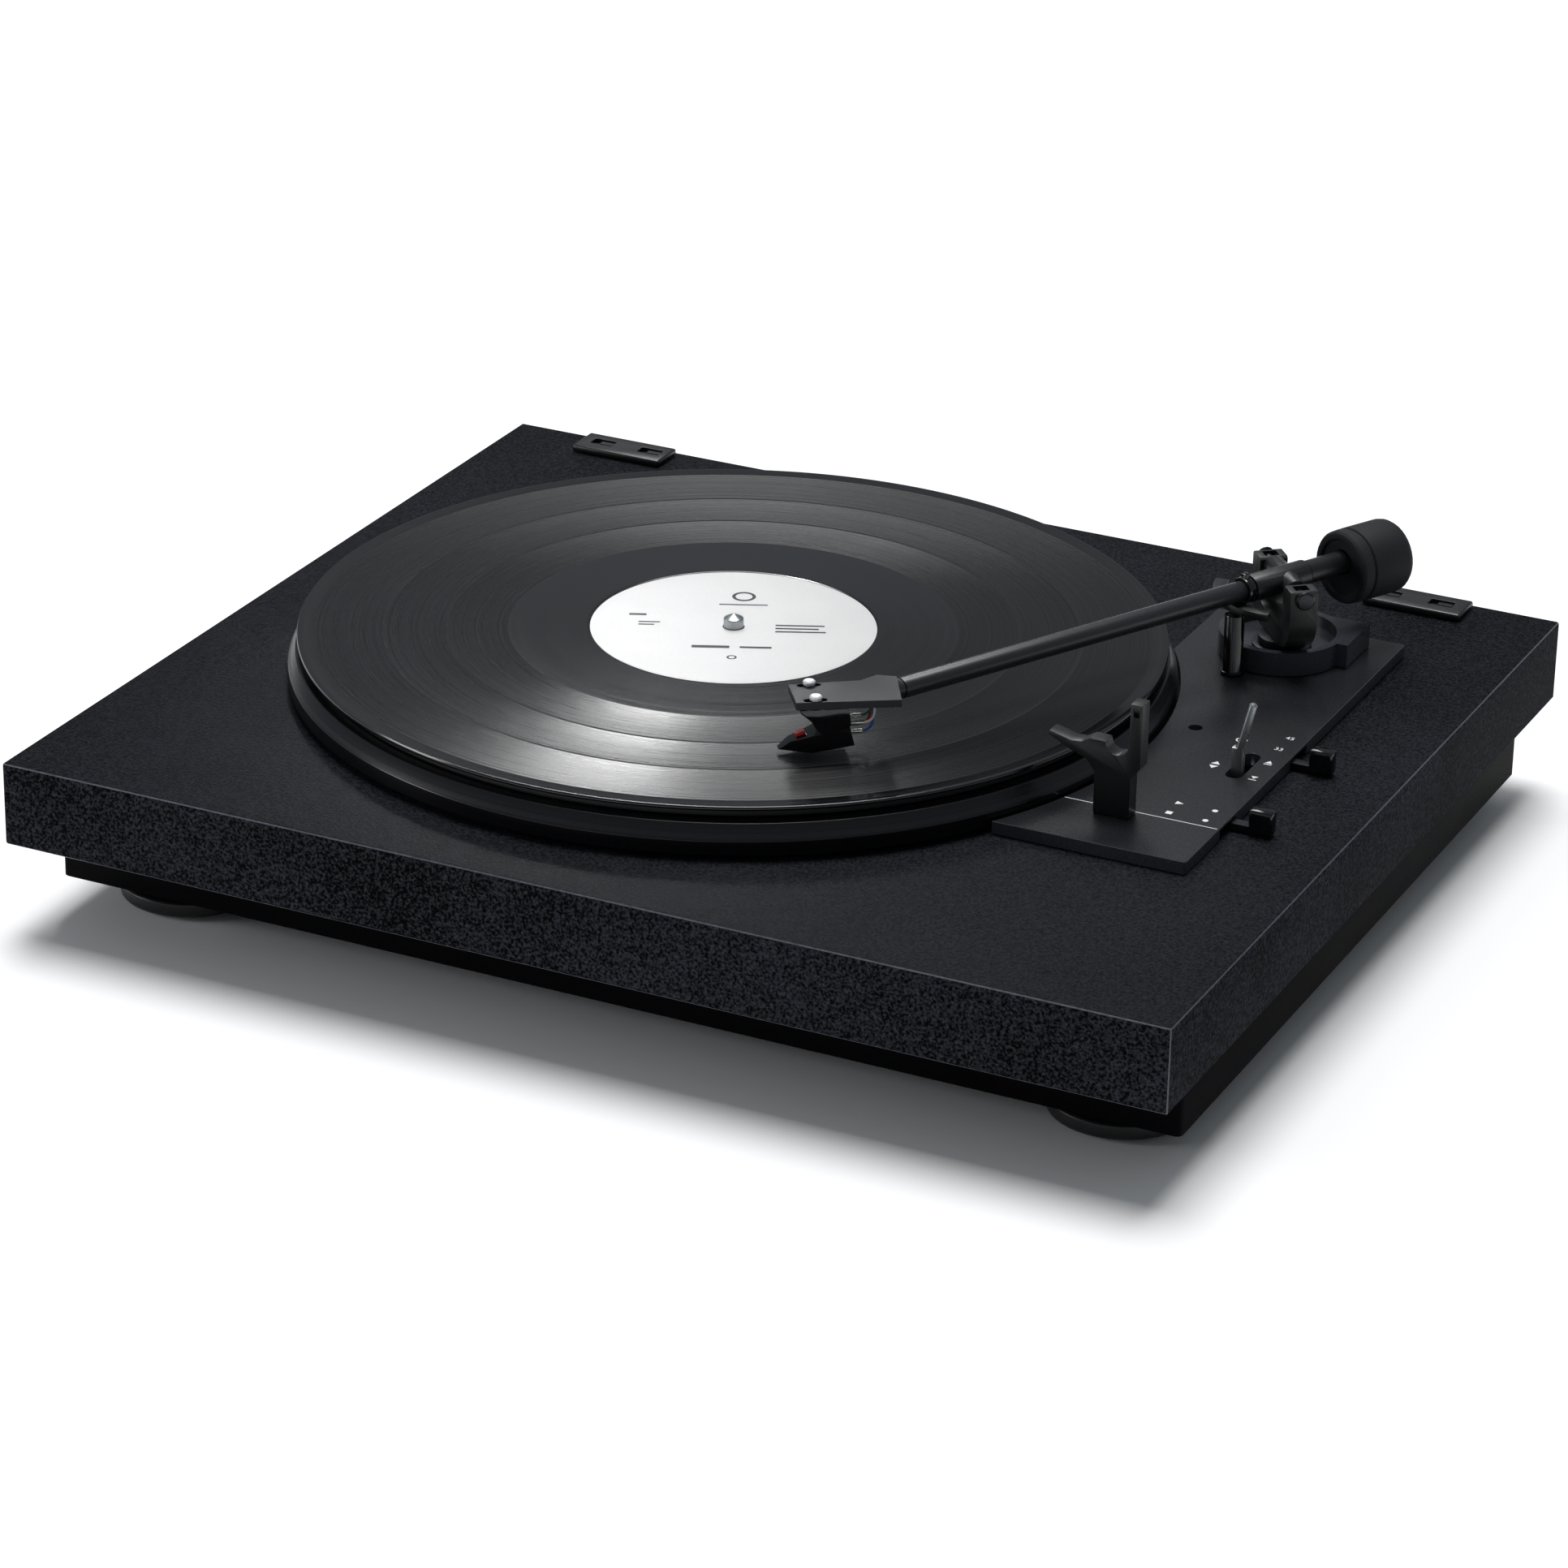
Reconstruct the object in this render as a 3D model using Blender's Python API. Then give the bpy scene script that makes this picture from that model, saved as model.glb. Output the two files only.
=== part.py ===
# Belt-drive turntable record player, metres, +Z up, floor at z 0, front toward -Y.
import math

import bmesh
import bpy
from mathutils import Matrix, Vector

for old in list(bpy.data.objects):
    bpy.data.objects.remove(old, do_unlink=True)

MM = 0.001
GAP = 0.0003
TOP = 0.0627            # top face of the plinth above the floor

# Overall sizes
PLINTH_W = 0.4212
PLINTH_D = 0.3646
PLINTH_T = 0.0298
TRAY_X = 0.2053
TRAY_Y0 = -0.1562
TRAY_Y1 = 0.1583
TRAY_WALL = 0.0025
TRAY_FLOOR = 0.0117     # underside of the tray above the floor
FOOT_R = 0.0243
FOOT_X = 0.1729
FOOT_Y = (-0.126, 0.128)

# Platter and drive
SPIN = Vector((-0.0291, 0.0002, 0))
PLATTER_R = 0.154
MAT_R = 0.147
RECORD_R = 0.1508
LABEL_R = 0.0497
SPINDLE_R = 0.0035
BORE = 0.0038
SHAFT_R = 0.004
SUB_R = 0.062
PULLEY_R = 0.006
MOTOR_OFF = 0.110
MOTOR_ANGLE = math.radians(150)
MOTOR_R = 0.018
WELL_DEPTH = 0.015
MOTOR = SPIN + MOTOR_OFF * Vector((math.cos(MOTOR_ANGLE), math.sin(MOTOR_ANGLE), 0))

# Control plate
PLATE_X0 = 0.102
PLATE_X1 = 0.1727
PLATE_Y0 = -0.079
PLATE_Y1 = 0.1249
PLATE_Z0 = 0.0003
PLATE_Z1 = 0.0048
PLATE_CUT_R = 0.1552
KNOB_SIZE = Vector((0.0085, 0.0052, 0.0087))
START_Y = -0.0381
SPEED_Y = 0.0166
KNOB_X = 0.1788

# Tonearm
PIVOT = Vector((0.1385, 0.0925, 0))
TUBE_Z = 0.035
TUBE_ANGLE = math.radians(62.7)
TUBE_R = 0.0036
TUBE_BORE = 0.0029
TUBE_FRONT = -0.1690
SLEEVE_R = 0.0049
STUB_R = 0.0042
CROSS_ANGLE = math.radians(-50)
YOKE_HALF = 0.0205
YOKE_IN = 0.0125
YOKE_W = 0.010
RING_C = Vector((0.1363, 0.0976, 0))
RING_R = 0.022
RING_TOP = 0.0136
WEIGHT_R = 0.0133
WEIGHT_T0 = 0.0255
WEIGHT_T1 = 0.050
WEIGHT_Z = 0.033
HEAD_ANGLE = math.radians(35.6)
STYLUS = Vector((0.0358, -0.0872, 0))
LIFT_R0 = 0.0204
LIFT_R1 = 0.025
LIFT_POST = PIVOT + 0.0226 * Vector((-math.cos(TUBE_ANGLE), -math.sin(TUBE_ANGLE), 0))
LEVER_PIVOT = Vector((0.1607, 0.001, -0.009))
REST_X = 0.1385

ALONG = Vector((math.cos(TUBE_ANGLE), math.sin(TUBE_ANGLE), 0))
CROSS = Vector((math.cos(CROSS_ANGLE), math.sin(CROSS_ANGLE), 0))
UP = Vector((0, 0, 1))
LIFT = Vector((0, 0, TOP))


def material(name, colour, rough, metal=0.0):
    m = bpy.data.materials.new(name)
    m.use_nodes = True
    b = m.node_tree.nodes["Principled BSDF"]
    b.inputs["Base Color"].default_value = (*colour, 1)
    b.inputs["Roughness"].default_value = rough
    b.inputs["Metallic"].default_value = metal
    m.diffuse_color = (*colour, 1)
    return m


CHARCOAL = material("plinth_lacquer", (0.05, 0.055, 0.065), 0.55)
TRAY_BLACK = material("tray_plastic", (0.012, 0.012, 0.014), 0.5)
RUBBER = material("rubber_black", (0.015, 0.015, 0.016), 0.85)
ANODISED = material("anodised_black", (0.02, 0.021, 0.024), 0.3, 0.6)
GLOSS = material("gloss_black_plastic", (0.01, 0.01, 0.011), 0.12)
MATTE = material("matte_black_plastic", (0.014, 0.015, 0.014), 0.5)
CAST = material("platter_cast", (0.02, 0.021, 0.023), 0.35, 0.6)
VINYL = material("record_vinyl", (0.008, 0.008, 0.009), 0.2)
PAPER = material("label_paper", (0.82, 0.82, 0.8), 0.6)
STEEL = material("bright_steel", (0.62, 0.63, 0.64), 0.2, 1.0)
BRASS = material("bush_brass", (0.6, 0.42, 0.16), 0.3, 1.0)
BELT = material("belt_rubber", (0.02, 0.02, 0.02), 0.7)
BOARD = material("circuit_board", (0.02, 0.16, 0.07), 0.45)
NICKEL = material("socket_nickel", (0.6, 0.6, 0.57), 0.25, 1.0)
ARM_PAINT = material("arm_black_paint", (0.015, 0.015, 0.017), 0.25, 0.4)


def finish(bm, name, mat, smooth=True, angle=32, origin=None):
    """Turn a bmesh into a named object; round sides smooth, real edges sharp."""
    bmesh.ops.recalc_face_normals(bm, faces=bm.faces)
    limit = math.radians(angle)
    for face in bm.faces:
        face.smooth = smooth
    for edge in bm.edges:
        edge.smooth = len(edge.link_faces) == 2 and edge.calc_face_angle(0) < limit
    if origin is not None:
        bmesh.ops.translate(bm, verts=bm.verts, vec=-origin)
    mesh = bpy.data.meshes.new(name)
    bm.to_mesh(mesh)
    bm.free()
    if mat is not None:
        mesh.materials.append(mat)
    obj = bpy.data.objects.new(name, mesh)
    bpy.context.scene.collection.objects.link(obj)
    if origin is not None:
        obj.location = origin
    return obj


def basis(axis, across=None):
    """Matrix whose Z column is the axis."""
    z = axis.normalized()
    x = across.normalized() if across is not None else z.orthogonal().normalized()
    y = z.cross(x).normalized()
    return Matrix((x, y, z)).transposed().to_4x4()


def lathe_bm(profile, centre, axis=UP, segs=48, closed=False, across=None):
    """Spin (radius, height) points about an axis; a closed profile makes a ring."""
    bm = bmesh.new()
    rings = []
    for r, z in profile:
        ring = []
        for i in range(segs):
            a = 2 * math.pi * i / segs
            ring.append(bm.verts.new((r * math.cos(a), r * math.sin(a), z)))
        rings.append(ring)
    pairs = list(zip(rings, rings[1:]))
    if closed:
        pairs.append((rings[-1], rings[0]))
    for low, high in pairs:
        for i in range(segs):
            j = (i + 1) % segs
            bm.faces.new((low[i], low[j], high[j], high[i]))
    if not closed:
        bm.faces.new(rings[0][::-1])
        bm.faces.new(rings[-1])
    bm.transform(Matrix.Translation(centre) @ basis(axis, across))
    return bm


def lathe(name, profile, centre, mat, axis=UP, segs=48, closed=False, origin=None):
    return finish(lathe_bm(profile, centre, axis, segs, closed), name, mat, origin=origin)


def tube_profile(r0, r1, z0, z1):
    return [(r0, z0), (r1, z0), (r1, z1), (r0, z1)]


def prism_bm(outline, h0, h1, frame=Matrix()):
    """Extrude a 2D outline between two heights, then place it by a frame."""
    bm = bmesh.new()
    low = [bm.verts.new((x, y, h0)) for x, y in outline]
    high = [bm.verts.new((x, y, h1)) for x, y in outline]
    n = len(outline)
    for i in range(n):
        j = (i + 1) % n
        bm.faces.new((low[i], low[j], high[j], high[i]))
    bm.faces.new(low[::-1])
    bm.faces.new(high)
    bm.transform(frame)
    return bm


def box_bm(lo, hi):
    bm = bmesh.new()
    size = [b - a for a, b in zip(lo, hi)]
    mid = [(a + b) / 2 for a, b in zip(lo, hi)]
    bmesh.ops.create_cube(bm, size=1, matrix=Matrix.Translation(mid) @ Matrix.Diagonal((*size, 1)))
    return bm


def soften(bm, width, segs=2, chosen=None):
    """Round the sharp edges of a box or prism."""
    edges = [e for e in bm.edges if e.calc_face_angle(0) > math.radians(35)]
    if chosen is not None:
        edges = [e for e in edges if chosen(e)]
    bmesh.ops.bevel(bm, geom=edges, offset=width, segments=segs, profile=0.5, affect="EDGES",
                    clamp_overlap=True)
    return bm


def cut(obj, bm, what="DIFFERENCE"):
    """Take a helper solid out of an object, or join it on."""
    helper = finish(bm, obj.name + "_cut", None)
    helper.hide_render = True
    helper.display_type = "WIRE"
    mod = obj.modifiers.new(what.lower(), "BOOLEAN")
    mod.operation = what
    mod.solver = "EXACT"
    mod.object = helper
    helper.location -= obj.location
    helper.parent = obj
    return obj


def drill(obj, centre, r, z0, z1, segs=24, axis=UP):
    return cut(obj, lathe_bm([(r, z0), (r, z1)], centre, axis, segs))


def belt_outline(r0, r1, segs=40, small=16):
    """Loop round the sub-platter circle and the motor circle."""
    away = MOTOR - SPIN
    turn = math.atan2(away.y, away.x)
    lean = math.acos((r0 - r1) / away.length)
    points = []
    for i in range(segs + 1):
        a = turn + lean + (2 * math.pi - 2 * lean) * i / segs
        points.append((SPIN.x + r0 * math.cos(a), SPIN.y + r0 * math.sin(a)))
    for i in range(small + 1):
        a = turn - lean + 2 * lean * i / small
        points.append((MOTOR.x + r1 * math.cos(a), MOTOR.y + r1 * math.sin(a)))
    return points


def at(x, y, z):
    """Point given from the plinth centre and its top face."""
    return Vector((x, y, z + TOP))


def arm_point(t, z=TUBE_Z):
    return PIVOT + ALONG * t + Vector((0, 0, z + TOP))


# Plinth: slab with the drive well, bores and lever slot
edge = 0.0009
plinth = finish(soften(box_bm(at(-PLINTH_W / 2, -PLINTH_D / 2, -PLINTH_T), at(PLINTH_W / 2, PLINTH_D / 2, 0)),
                       edge), "plinth", CHARCOAL)
cut(plinth, prism_bm(belt_outline(SUB_R + 0.004, 0.026), TOP - WELL_DEPTH, TOP + 0.01))
drill(plinth, SPIN + LIFT, 0.0093, -0.05, -0.01)
drill(plinth, MOTOR + LIFT, MOTOR_R + GAP, -0.05, -0.01, 32)
drill(plinth, PIVOT + LIFT, 0.0073, -0.05, 0.01)
drill(plinth, LIFT_POST + LIFT, 0.0038, -0.05, 0.01, 16)
slot_x0 = LEVER_PIVOT.x - 0.0045
slot_x1 = LEVER_PIVOT.x + 0.0045
cut(plinth, box_bm(at(slot_x0, -0.013, -0.05), at(slot_x1, 0.015, 0.01)))
cut(plinth, box_bm(at(slot_x0 - 0.004, LEVER_PIVOT.y - 0.0016, LEVER_PIVOT.z - 0.0016),
                   at(slot_x1 + 0.004, LEVER_PIVOT.y + 0.0016, 0.01)))

# Base tray: thin open box under the plinth with bores for the rear sockets
SOCKETS = {"rca_socket_left": 0.128, "rca_socket_right": 0.142}
GROUND_X = 0.112
INLET_X = 0.060
SOCKET_Z = 0.022
tray_top = TOP - PLINTH_T - GAP
tray = finish(soften(box_bm((-TRAY_X, TRAY_Y0, TRAY_FLOOR), (TRAY_X, TRAY_Y1, tray_top)), 0.002,
                     chosen=lambda e: abs(e.verts[0].co.z - e.verts[1].co.z) > 0.01), "base_tray", TRAY_BLACK)
cut(tray, box_bm((-TRAY_X + TRAY_WALL, TRAY_Y0 + TRAY_WALL, TRAY_FLOOR + TRAY_WALL),
                 (TRAY_X - TRAY_WALL, TRAY_Y1 - TRAY_WALL, tray_top + 0.01)))
for x in SOCKETS.values():
    drill(tray, Vector((x, TRAY_Y1, SOCKET_Z)), 0.0046, -0.01, 0.01, 20, Vector((0, 1, 0)))
drill(tray, Vector((GROUND_X, TRAY_Y1, SOCKET_Z)), 0.0023, -0.01, 0.01, 16, Vector((0, 1, 0)))
drill(tray, Vector((INLET_X, TRAY_Y1, SOCKET_Z)), 0.0053, -0.01, 0.01, 20, Vector((0, 1, 0)))

# Feet: stepped discs with a rubber pad underneath
foot_names = {(-1, 0): "front_left", (1, 0): "front_right", (-1, 1): "rear_left", (1, 1): "rear_right"}
for (side, row), place in foot_names.items():
    centre = Vector((side * FOOT_X, FOOT_Y[row], 0))
    high = TRAY_FLOOR - GAP
    profile = [(0.0222, 0.0012), (FOOT_R - 0.0005, 0.0015), (FOOT_R, 0.0024), (FOOT_R, 0.0062)]
    profile += [(FOOT_R - 0.0007, 0.0069), (0.0214, 0.0069), (0.0214, 0.0079), (0.0225, 0.0079)]
    profile += [(0.0225, high)]
    lathe("foot_" + place, profile, centre, MATTE)
    lathe("pad_" + place, [(0.0205, 0.0), (0.021, 0.0009)], centre, RUBBER, segs=32)

# Bearing and thrust ball
ball_z = -0.0392
ball_r = 0.0025
lathe("bearing_housing", [(0.0043, -0.042), (0.0043, -0.0127), (0.017, -0.0127), (0.017, -0.0147),
                          (0.009, -0.0147), (0.009, -0.045)], SPIN + LIFT, STEEL, segs=32)
ball = bmesh.new()
bmesh.ops.create_uvsphere(ball, u_segments=16, v_segments=10, radius=ball_r,
                          matrix=Matrix.Translation(SPIN + LIFT + Vector((0, 0, ball_z))))
finish(ball, "thrust_ball", STEEL)

# Spindle shaft, sub-platter, platter, mat, record and label
turning = SPIN + LIFT
lathe("spindle_shaft", [(0.003, -0.0364), (SHAFT_R, -0.0354), (SHAFT_R, 0.0012), (SPINDLE_R, 0.0012),
                        (SPINDLE_R, 0.0209), (0.0033, 0.0212), (0.0006, 0.0226), (0.0003, 0.0227)],
      turning, STEEL, segs=24, origin=turning)
lathe("sub_platter", [(0.0043, -0.0115), (SUB_R, -0.0115), (SUB_R, -0.0028), (0.020, -0.0022),
                      (0.020, 0.0015), (0.0043, 0.0015)], turning, MATTE, segs=72, closed=True, origin=turning)
lathe("platter", [(BORE, 0.0018), (PLATTER_R - 0.0008, 0.0018), (PLATTER_R, 0.0026), (PLATTER_R, 0.0072),
                  (PLATTER_R - 0.0005, 0.0078), (0.1512, 0.0121), (0.1498, 0.0126), (BORE, 0.0126)],
      turning, CAST, segs=120, closed=True, origin=turning)
lathe("mat", [(BORE, 0.0129), (MAT_R, 0.0129), (MAT_R, 0.0154), (MAT_R - 0.0005, 0.0159), (BORE, 0.0159)],
      turning, RUBBER, segs=96, closed=True, origin=turning)
lathe("record", [(BORE, 0.0162), (RECORD_R - 0.0004, 0.0162), (RECORD_R, 0.0167), (RECORD_R, 0.0176),
                 (RECORD_R - 0.0004, 0.018), (0.0500, 0.018), (0.0500, 0.0172), (BORE, 0.0172)],
      turning, VINYL, segs=120, closed=True, origin=turning)
lathe("record_label", [(BORE, 0.0175), (LABEL_R, 0.0175), (LABEL_R, 0.01792), (BORE, 0.01792)],
      turning, PAPER, segs=64, closed=True, origin=turning)

# Motor, mounting plate, pulley and belt
lathe("motor_can", [(0.0022, -0.024), (0.0022, -0.015), (MOTOR_R - 0.001, -0.015), (MOTOR_R, -0.016),
                    (MOTOR_R, -0.045), (MOTOR_R - 0.001, -0.046)], MOTOR + LIFT, STEEL, segs=32)
lathe("motor_plate", tube_profile(0.0022, 0.024, -0.0147, -0.0133), MOTOR + LIFT, STEEL, segs=32,
      closed=True)
lathe("motor_pulley", [(0.0016, -0.0236), (0.0016, -0.0126), (0.0072, -0.0126), (0.0072, -0.0112),
                       (PULLEY_R, -0.0108), (PULLEY_R, -0.0048), (0.0072, -0.0044), (0.0072, -0.003)],
      MOTOR + LIFT, BRASS, segs=24, origin=MOTOR + LIFT)
outer = belt_outline(SUB_R + 0.0009, PULLEY_R + 0.0009)
inner = belt_outline(SUB_R + GAP, PULLEY_R + GAP)
bm = bmesh.new()
belt_z = (TOP - 0.0103, TOP - 0.0053)
loops = [[bm.verts.new((x, y, z)) for x, y in line] for z in belt_z for line in (outer, inner)]
for a, b in ((0, 2), (3, 1), (1, 0), (2, 3)):
    for i in range(len(outer)):
        j = (i + 1) % len(outer)
        bm.faces.new((loops[a][i], loops[a][j], loops[b][j], loops[b][i]))
finish(bm, "drive_belt", BELT)

# Control plate: bent round the platter, slots for the levers
reach = math.sqrt(PLATE_CUT_R ** 2 - (PLATE_X0 - SPIN.x) ** 2)
start = math.atan2(reach, PLATE_X0 - SPIN.x)
stop = -math.asin((SPIN.y - PLATE_Y0) / PLATE_CUT_R)
corner = 0.0012
outline = []
for cx, cy, a0 in ((PLATE_X1 - corner, PLATE_Y0 + corner, -90), (PLATE_X1 - corner, PLATE_Y1 - corner, 0)):
    for i in range(4):
        a = math.radians(a0 + 30 * i)
        outline.append((cx + corner * math.cos(a), cy + corner * math.sin(a)))
outline.append((PLATE_X0, PLATE_Y1))
for i in range(31):
    a = start + (stop - start) * i / 30
    outline.append((SPIN.x + PLATE_CUT_R * math.cos(a), SPIN.y + PLATE_CUT_R * math.sin(a)))
bm = prism_bm(outline, TOP + PLATE_Z0, TOP + PLATE_Z1)
soften(bm, 0.0004, 2, lambda e: min(v.co.z for v in e.verts) > TOP + PLATE_Z1 - 0.0001)
plate = finish(bm, "control_plate", ANODISED)
drill(plate, PIVOT + LIFT, 0.0073, -0.01, 0.01)
drill(plate, LIFT_POST + LIFT, 0.0038, -0.01, 0.01, 16)
drill(plate, at(0.1346, 0.0231, 0), 0.0025, -0.01, 0.01, 20)
slot = []
for cy, a0 in ((-0.007, 180), (0.0092, 0)):
    for i in range(9):
        a = math.radians(a0 + 22.5 * i)
        slot.append((LEVER_PIVOT.x + 0.003 * math.cos(a), cy + 0.003 * math.sin(a)))
cut(plate, prism_bm(slot, TOP - 0.01, TOP + 0.01))
cut(plate, box_bm(at(0.150, START_Y - 0.0112, -0.01), at(0.18, START_Y + 0.0026, 0.0037)))
cut(plate, box_bm(at(0.1655, SPEED_Y - 0.0026, -0.01), at(0.18, SPEED_Y + 0.0126, 0.0037)))

# Start-stop and speed levers with push-on knobs
for name, y, x0 in (("start", START_Y, 0.153), ("speed", SPEED_Y, 0.1664)):
    at_joint = at(KNOB_X, y, 0.002)
    bm = box_bm(at(x0, y - 0.002, 0.0007), at(KNOB_X + 0.0055, y + 0.002, 0.0030))
    finish(bm, name + "_lever", STEEL, origin=at_joint)
    lo = at(KNOB_X, y - KNOB_SIZE.y / 2, 0.0006)
    hi = lo + KNOB_SIZE
    knob = finish(soften(box_bm(lo, hi), 0.0013, 3), name + "_knob", GLOSS, origin=at_joint)
    cut(knob, box_bm(at(KNOB_X - 0.01, y - 0.0023, 0.0001 + 0.0003), at(KNOB_X + 0.0058, y + 0.0023, 0.0033)))

# Arm base: ring and block in one casting, recessed for the yoke, with a bearing bush
outline = [(0.162, 0.0945), (0.162, 0.117)]
a0 = math.asin((0.117 - RING_C.y) / RING_R)
a1 = 2 * math.pi + math.asin((0.0945 - RING_C.y) / RING_R)
for i in range(41):
    a = a0 + (a1 - a0) * i / 40
    outline.append((RING_C.x + RING_R * math.cos(a), RING_C.y + RING_R * math.sin(a)))
bm = prism_bm(outline, TOP + PLATE_Z1 + GAP, TOP + RING_TOP)
soften(bm, 0.0005, 2, lambda e: min(v.co.z for v in e.verts) > TOP + RING_TOP - 0.0001)
arm_base = finish(bm, "arm_base", GLOSS)
drill(arm_base, RING_C + LIFT, 0.0193, 0.0096, 0.02, 40)
drill(arm_base, PIVOT + LIFT, 0.0073, -0.01, 0.02)
lathe("arm_bush", [(0.0043, -0.024), (0.007, -0.024), (0.007, 0.0099), (0.0105, 0.0099), (0.0105, 0.0113),
                   (0.0043, 0.0113)], PIVOT + LIFT, BRASS, segs=24, closed=True)

# Arm rest: cradle on a foot with a lead-in horn and a guard post
rest = [(-0.0075, 0.0051), (0.0052, 0.0051), (0.0052, 0.0195), (0.0085, 0.0235), (0.0085, 0.0459),
        (0.0043, 0.0459), (0.0043, 0.0312)]
for i in range(9):
    a = math.pi * i / 8
    rest.append((0.0041 * math.cos(a), 0.0308 - 0.0040 * math.sin(a)))
rest += [(-0.0053, 0.0310), (-0.0095, 0.0310), (-0.0125, 0.0292), (-0.0160, 0.0290), (-0.0238, 0.0310),
         (-0.0244, 0.0296), (-0.0165, 0.0258), (-0.0105, 0.0235), (-0.0075, 0.0195)]
frame = Matrix(((1, 0, 0, REST_X), (0, 0, -1, -0.0544), (0, 1, 0, TOP), (0, 0, 0, 1)))
arm_rest = finish(soften(prism_bm(rest, -0.0030, 0.0030, frame), 0.0004, 1), "arm_rest", MATTE)
cut(arm_rest, box_bm(at(REST_X + 0.0055, -0.07, 0.0415), at(REST_X + 0.0073, -0.04, 0.0433)))

# Hinge sockets for a dust cover at the rear edge
for side, name in ((-1, "hinge_socket_left"), (1, "hinge_socket_right")):
    lo = at(min(side * 0.142, side * 0.179), 0.1635, GAP)
    hi = at(max(side * 0.142, side * 0.179), 0.1790, 0.003)
    socket = finish(soften(box_bm(lo, hi), 0.0008, 2), name, MATTE)
    for x in (0.1495, 0.1695):
        mid = side * x
        cut(socket, box_bm(at(mid - 0.0045, 0.1690, 0.0012), at(mid + 0.0045, 0.1742, 0.01)))

# Yoke: U bracket on a shaft, with two pivot screws
yoke_side = UP.cross(CROSS).normalized()
outline = [(YOKE_HALF, 0.0372), (YOKE_HALF - 0.0008, 0.038), (YOKE_IN + 0.0008, 0.038), (YOKE_IN, 0.0372)]
for i in range(5):
    a = math.radians(90 * i / 4)
    outline.append((YOKE_IN - 0.006 + 0.006 * math.cos(a), 0.028 - 0.006 * math.sin(a)))
mirror = [(-x, z) for x, z in reversed(outline)]
outline = outline + mirror
for i in range(7):
    a = math.radians(180 + 90 * i / 6)
    outline.append((-YOKE_HALF + 0.011 + 0.011 * math.cos(a), 0.0255 + 0.011 * math.sin(a)))
for i in range(7):
    a = math.radians(270 + 90 * i / 6)
    outline.append((YOKE_HALF - 0.011 + 0.011 * math.cos(a), 0.0255 + 0.011 * math.sin(a)))
frame = Matrix.Translation(PIVOT + LIFT) @ Matrix((CROSS, UP, -yoke_side)).transposed().to_4x4()
yoke_at = PIVOT + LIFT
yoke = finish(soften(prism_bm(outline, -YOKE_W / 2, YOKE_W / 2, frame), 0.0006, 1), "yoke", MATTE, origin=yoke_at)
drill(yoke, PIVOT + LIFT, 0.0043, 0.0, 0.0185, 24)
drill(yoke, PIVOT + LIFT + UP * TUBE_Z, 0.0023, -0.03, 0.03, 16, CROSS)
for side in (1, -1):
    k = side * (YOKE_IN + YOKE_HALF) / 2
    pocket = box_bm((k - 0.0022, 0.0358, -0.0026), (k + 0.0022, 0.05, 0.0026))
    pocket.transform(frame)
    cut(yoke, pocket)
lathe("yoke_shaft", [(0.0035, -0.026), (SHAFT_R, -0.0255), (SHAFT_R, 0.0116), (0.0085, 0.0116),
                     (0.0085, 0.0142), (SHAFT_R, 0.0142), (SHAFT_R, 0.0182)], PIVOT + LIFT, STEEL,
      segs=24, origin=yoke_at)
for side, name in ((1, "pivot_screw_near"), (-1, "pivot_screw_far")):
    lathe(name, [(0.0012, 0.0098), (0.002, 0.0106), (0.002, 0.0208), (0.0034, 0.0208), (0.0034, 0.0216),
                 (0.0028, 0.0222)], PIVOT + LIFT + UP * TUBE_Z, STEEL, CROSS * side, 16, origin=yoke_at)

# Tonearm: sleeve with cross tube and rear stub, then tube, collar and headshell
arm_at = PIVOT + LIFT + UP * TUBE_Z
sleeve = lathe("arm_sleeve", [(0.0026, -0.030), (0.0026, -0.0165), (SLEEVE_R, -0.0165), (SLEEVE_R, 0.0082),
                              (STUB_R, 0.0090), (STUB_R, 0.0435), (0.0037, 0.044)], arm_at, MATTE, ALONG, 24,
               origin=arm_at)
cut(sleeve, lathe_bm([(0.0040, -YOKE_IN + 0.0004), (0.0040, YOKE_IN - 0.0004)], arm_at, CROSS, 24), "UNION")
for side in (1, -1):
    drill(sleeve, arm_at, 0.0023, 0.0090, 0.02, 16, CROSS * side)
lathe("arm_tube", tube_profile(TUBE_BORE, TUBE_R, TUBE_FRONT, -0.0168), arm_at, ARM_PAINT, ALONG, 24,
      closed=True, origin=arm_at)
collar = lathe("arm_collar", tube_profile(0.0039, 0.0048, -0.0201, -0.0171), arm_at, GLOSS, ALONG, 24,
               closed=True, origin=arm_at)
lug = box_bm((-0.0012, 0.0042, -0.0197), (0.0012, 0.0062, -0.0175))
lug.transform(Matrix.Translation(arm_at) @ Matrix((UP.cross(ALONG), UP, ALONG)).transposed().to_4x4())
cut(collar, lug, "UNION")

TOE = Vector((math.cos(HEAD_ANGLE), math.sin(HEAD_ANGLE), 0))
LEFT = UP.cross(TOE)
head = Matrix.Translation(STYLUS + LIFT) @ Matrix((TOE, LEFT, UP)).transposed().to_4x4()


def head_point(u, v, z):
    return head @ Vector((u, v, z))


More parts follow.
